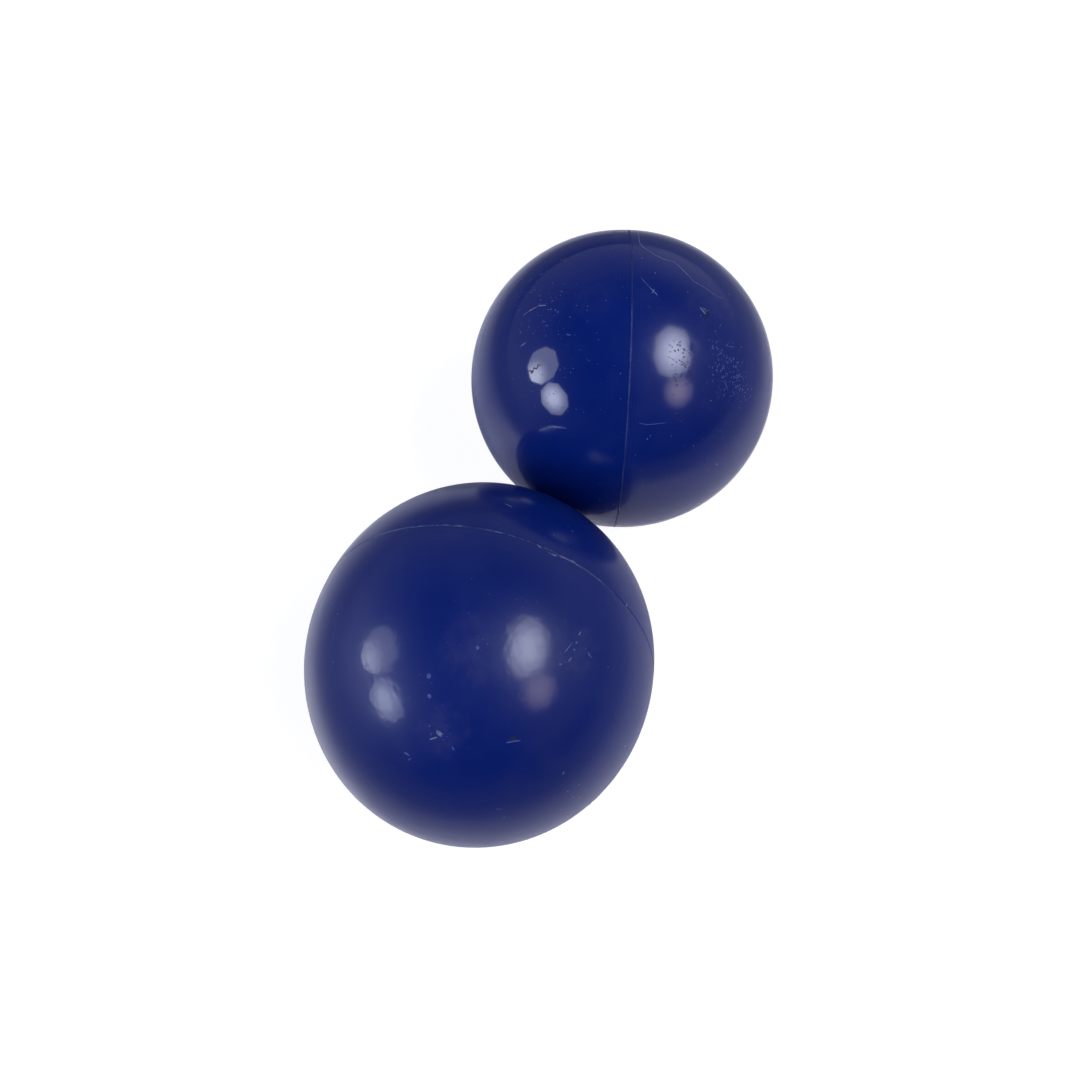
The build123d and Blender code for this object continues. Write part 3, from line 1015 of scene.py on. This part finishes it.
def make_balls():
    sand = ballast_material()
    scuffs = scar_material("scuffed_plastic", (0.20, 0.26, 0.46, 1), (0.14, 0.13, 0.11, 1), 0.2)
    nicks = scar_material("nicked_plastic", (0.085, 0.135, 0.44, 1), (0.10, 0.11, 0.27, 1), 0.2)
    dirt = scar_material("dried_dirt", (0.040, 0.036, 0.034, 1), (0.10, 0.095, 0.07, 1), 0.5)
    make_rear_ball(sand, scuffs, nicks, dirt)
    make_front_ball(sand, scuffs, nicks)


# ---------------------------------------- studio


PANEL_CORNER = 0.56  # share of a panel's half side that its cut corners take
PANEL_FADE = 1.25  # of a panel's half side, from its hot spot to its dimmest
PANEL_BRIGHTEST = 2.2  # times its glow
PANEL_DIMMEST = 0.58

# A soft box: (heading, tilt, distance, half width, half height, glow, hot spot, tint). The sizes
# are in degrees as seen from the balls.
PANELS = [
    (119.2, 29.3, 2.20, 11.2, 12.2, 4.4, (0.35, -0.75), (0.92, 0.98, 1.13)),
    (146.0, 24.6, 6.00, 11.0, 9.7, 4.7, (-0.1, 0.0), (0.89, 0.96, 1.16)),
    (-71.7, 58.3, 2.60, 17.3, 13.4, 5.0, (0.0, 0.0), (0.94, 0.97, 1.13)),
    (-102.0, 41.4, 1.40, 10.6, 10.4, 1.8, (0.0, 0.0), (1.0, 0.86, 0.94)),
]


def stage_mesh(name, vertices, faces, material):
    mesh = bpy.data.meshes.new(name)
    mesh.from_pydata(vertices, [], faces)
    mesh.materials.append(material)
    thing = bpy.data.objects.new(name, mesh)
    bpy.context.scene.collection.objects.link(thing)
    return thing


def panel_material(name, glow, hot, tint):
    """A diffuser lit from behind: brightest near its lamp."""
    r = Recipe(bpy.data.materials.new(name), unit=1.0)
    offset = r.vector("DISTANCE", r.place, (*hot, 0))
    hottest, coolest = glow * PANEL_BRIGHTEST, glow * PANEL_DIMMEST
    strength = r.ramp(offset, 0.0, PANEL_FADE, hottest, coolest, ease="SMOOTHERSTEP")
    return r.show(r.emission(strength, tint))


def make_panels(target):
    corner = 1 - PANEL_CORNER
    outline = [(1, corner), (corner, 1), (-corner, 1), (-1, corner)]
    outline += [(-x, -y) for x, y in outline]
    for number, (heading, tilt, distance, wide, high, glow, hot, tint) in enumerate(PANELS):
        name = f"soft_box_{number + 1}"
        material = panel_material(name, glow, hot, tint)
        panel = stage_mesh(name, [(x, y, 0) for x, y in outline], [tuple(range(8))], material)
        way = direction(heading, tilt)
        panel.location = target + way * distance
        panel.rotation_euler = way.to_track_quat("Z", "Y").to_euler()
        panel.scale = (
            distance * math.tan(math.radians(wide)),
            distance * math.tan(math.radians(high)),
            1,
        )
        panel.visible_camera = False


# The floor, as the balls mirror it, carries a painted pool of light: bright near the middle, dimmer
# further off, and least dim to both sides of the view. A little painted light also glows on the floor
# beside the front ball.
FLOOR_TINT = (1.0, 0.99, 1.08)
FLOOR_NEAR = (0.10, 0.88)  # (distance in metres, brightness)
FLOOR_FAR = (0.36, 0.20, 0.36)  # (distance, least brightness, most brightness)
PAINTED_SPILL_PLACE = (-0.10, 0.08, 0.0)
PAINTED_SPILL_REACH = (0.03, 0.12)
PAINTED_SPILL_GLOW = 0.34

# The floor, as the camera sees it
FLOOR_SEEN_TINT = (0.2, 0.2, 0.2, 1)
FLOOR_SEEN_GLOW = 0.93
FLOOR_REACH = 3.0


def make_floor():
    """A pale floor: white to the camera apart from soft contact shadows. Light that has left
    the balls finds a painted pool of light on it, bright close by and dim further off as on a lit
    table in a dark room, and a painted glow beside the front ball."""
    r = Recipe(bpy.data.materials.new("pale_floor"), unit=1.0)
    outward = r.vector("NORMALIZE", r.place)
    across = r.vector("DOT_PRODUCT", outward, direction(CAMERA_HEADING + 90, 0))
    near, near_painted_pool = FLOOR_NEAR
    far, least, most = FLOOR_FAR
    far_painted_pool = r.ramp(r.math("MULTIPLY", across, across), 0.0, 1.0, least, most, ease="LINEAR")
    # painted pool of light: the floor's colour is brightest near the middle and falls off outwards
    brightness = r.ramp(
        r.vector("LENGTH", r.place), near, far, near_painted_pool, far_painted_pool, ease="SMOOTHERSTEP"
    )
    painted_pool_colour = r.vector("SCALE", FLOOR_TINT, scale=brightness)
    # painted light: the floor glows beside the front ball in what the balls mirror
    from_spill = r.vector("DISTANCE", r.place, PAINTED_SPILL_PLACE)
    painted_spill = r.ramp(from_spill, *PAINTED_SPILL_REACH, PAINTED_SPILL_GLOW, 0.0, ease="SMOOTHERSTEP")
    mirrored = r.sum(r.node("BsdfDiffuse", {"Color": painted_pool_colour}).outputs[0], r.emission(painted_spill))
    pale = r.node("BsdfDiffuse", {"Color": FLOOR_SEEN_TINT}).outputs[0]
    material = r.show(r.by_ray(r.sum(pale, r.emission(FLOOR_SEEN_GLOW)), mirrored))
    corners = [(-1, -1), (1, -1), (1, 1), (-1, 1)]
    corners = [(x * FLOOR_REACH, y * FLOOR_REACH, 0) for x, y in corners]
    stage_mesh("floor", corners, [(0, 1, 2, 3)], material)


# The dim room, as the balls mirror it: (heading, tilt, spread, brightness)
ROOM_PATCHES = [
    (115, 0, 0.55, 0.34),
    (-8, 3, 0.40, 0.33),
    (45, 4, 0.60, 0.21),
    (-55, 3, 0.45, 0.14),
]
ROOM_GLOW = 0.015
CEILING_GLOW = 0.02
CEILING_HEIGHTS = (0.1, 0.8)  # where the glow of the room turns into that of the ceiling
ROOM_TINT = (0.98, 0.99, 1.12, 1)


def make_room():
    """The backdrop: white to the camera, a dim studio to everything else."""
    world = bpy.data.worlds.new("studio")
    bpy.context.scene.world = world
    r = Recipe(world, coordinates="Generated", unit=1.0)
    height = r.node("SeparateXYZ", {0: r.place}).outputs["Z"]
    glow = r.ramp(height, *CEILING_HEIGHTS, ROOM_GLOW, CEILING_GLOW, ease="LINEAR")
    for heading, tilt, spread, brightness in ROOM_PATCHES:
        off_patch = r.vector("DISTANCE", r.place, direction(heading, tilt))
        patch = r.ramp(off_patch, 0.0, 2 * spread, brightness, 0.0, ease="SMOOTHERSTEP")
        glow = r.math("ADD", glow, patch)
    dim = r.node("Background", {"Color": ROOM_TINT, "Strength": glow}).outputs[0]
    white = r.node("Background", {"Color": (1, 1, 1, 1)}).outputs[0]
    r.show(r.by_ray(white, dim))


def make_camera():
    data = bpy.data.cameras.new("camera")
    data.sensor_width = SENSOR
    data.lens = SENSOR / FIELD
    data.shift_y = CAMERA_RISE
    data.clip_start = 0.01
    camera = bpy.data.objects.new("camera", data)
    camera.location = CAMERA_PLACE
    camera.rotation_euler = (
        math.radians(90 + CAMERA_TILT),
        0,
        math.radians(CAMERA_HEADING - 90),
    )
    bpy.context.scene.collection.objects.link(camera)
    bpy.context.scene.camera = camera


make_balls()
make_panels((CAD_BOX[0] + CAD_BOX[1]) / 2)
make_floor()
make_room()
make_camera()
bpy.context.scene.view_settings.view_transform = "Standard"
